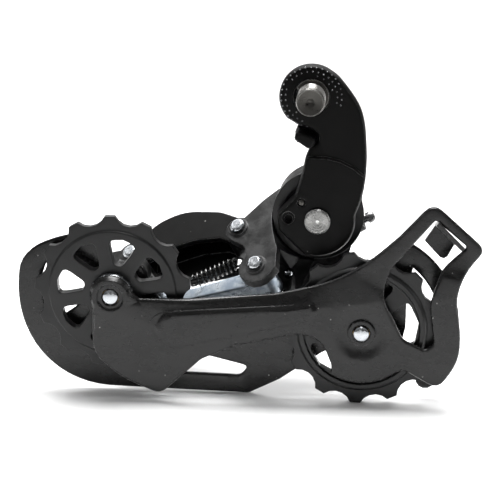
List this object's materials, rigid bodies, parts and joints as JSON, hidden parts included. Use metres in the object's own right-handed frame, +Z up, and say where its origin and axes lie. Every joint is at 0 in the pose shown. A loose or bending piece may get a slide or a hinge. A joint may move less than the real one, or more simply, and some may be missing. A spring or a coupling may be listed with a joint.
{
  "type": "rear derailleur",
  "caption": "Long-cage rear bicycle derailleur with hanger bolt, sprung pivots, parallelogram links, hooked cage and toothed jockey pulleys.",
  "frame": {"origin": "on the mounting bolt's axis, in the plane of the bracket's face that meets the frame's hanger", "axes": "+X towards the rear of the bicycle, +Y outboard along the bolt from the hanger to the bolt's head, +Z up"},
  "size_m": [0.1624, 0.0514, 0.1178],
  "materials": {
    "satin_black_plate": "semi-gloss black electrocoat",
    "matte_black_casting": "matte black powder coat",
    "grey_casting": "mottled grey-black coated zinc casting",
    "black_plastic": "moulded black nylon",
    "dark_steel": "blackened steel, turned",
    "bright_zinc": "bright zinc plated steel",
    "plated_link": "bluish spangled zinc plate",
    "spring_steel": "oiled black spring steel",
    "bronze": "sintered bronze"
  },
  "bodies": {
    "bracket": {"bracket": "matte_black_casting", "stop_plate": "matte_black_casting", "bolt_snap_ring": "dark_steel", "b_axle": "bright_zinc", "b_axle_circlip": "dark_steel", "spring_anchor_pin": "dark_steel"},
    "mounting_bolt": {"mounting_bolt": "dark_steel"},
    "upper_knuckle": {"b_knuckle": "grey_casting", "b_tension_screw": "bright_zinc", "limit_screw_high": "bright_zinc", "limit_screw_low": "bright_zinc", "b_seal_ring": "black_plastic", "b_spring": "spring_steel", "link_pin_upper_outer": "bright_zinc", "link_pin_upper_inner": "bright_zinc"},
    "outer_link": {"outer_link": "satin_black_plate", "cable_anchor_plate": "bright_zinc", "cable_anchor_bolt": "bright_zinc"},
    "inner_link": {"inner_link": "plated_link", "return_spring": "spring_steel"},
    "lower_knuckle": {"p_knuckle": "grey_casting", "p_spring": "spring_steel", "link_pin_lower_outer": "bright_zinc", "link_pin_lower_inner": "bright_zinc"},
    "cage": {"outer_cage_plate": "satin_black_plate", "inner_cage_plate": "satin_black_plate", "p_axle": "dark_steel", "guide_axle": "bright_zinc", "tension_axle": "bright_zinc", "guide_bushing": "bronze", "tension_bushing": "bronze", "guide_dust_cap_inner": "bright_zinc", "guide_dust_cap_outer": "bright_zinc", "tension_dust_cap_inner": "bright_zinc", "tension_dust_cap_outer": "bright_zinc"},
    "guide_pulley": {"guide_pulley": "black_plastic"},
    "tension_pulley": {"tension_pulley": "black_plastic"}
  },
  "joints": [
    {"name": "mounting_bolt_spin", "type": "hinge", "parent": "bracket", "child": "mounting_bolt", "pos_m": [0, 0, 0], "axis": [0, 1, 0], "continuous": true},
    {"name": "upper_pivot", "type": "hinge", "parent": "bracket", "child": "upper_knuckle", "pos_m": [0.0026, 0, -0.0435], "axis": [0, 1, 0], "range_deg": [-25, 0], "stiffness_Nm_per_rad": 0.5, "springref_deg": 45.84},
    {"name": "outer_link_swing", "type": "hinge", "parent": "upper_knuckle", "child": "outer_link", "pos_m": [-0.0257, 0.007, -0.0493], "axis": [-0.328, -0.569, 0.7541], "range_deg": [0, 62], "stiffness_Nm_per_rad": 0.25, "springref_deg": -34.38},
    {"name": "inner_link_swing", "type": "hinge", "parent": "upper_knuckle", "child": "inner_link", "pos_m": [-0.01837, -0.0087, -0.05796], "axis": [-0.328, -0.569, 0.7541], "range_deg": [0, 62]},
    {"name": "lower_knuckle_swing", "type": "hinge", "parent": "outer_link", "child": "lower_knuckle", "pos_m": [-0.06575, 0.01376, -0.06162], "axis": [-0.328, -0.569, 0.7541], "range_deg": [-62, 0]},
    {"name": "cage_swing", "type": "hinge", "parent": "lower_knuckle", "child": "cage", "pos_m": [-0.0634, 0, -0.0653], "axis": [0, 1, 0], "range_deg": [0, 115], "stiffness_Nm_per_rad": 0.15, "springref_deg": -85.94},
    {"name": "guide_pulley_spin", "type": "hinge", "parent": "cage", "child": "guide_pulley", "pos_m": [-0.0684, 0, -0.068], "axis": [0, 1, 0], "continuous": true},
    {"name": "tension_pulley_spin", "type": "hinge", "parent": "cage", "child": "tension_pulley", "pos_m": [0.0188, 0, -0.0792], "axis": [0, 1, 0], "continuous": true}
  ],
  "couplings": [
    {"joint": "inner_link_swing", "follows": "outer_link_swing", "ratio": 1},
    {"joint": "lower_knuckle_swing", "follows": "outer_link_swing", "ratio": -1}
  ]
}
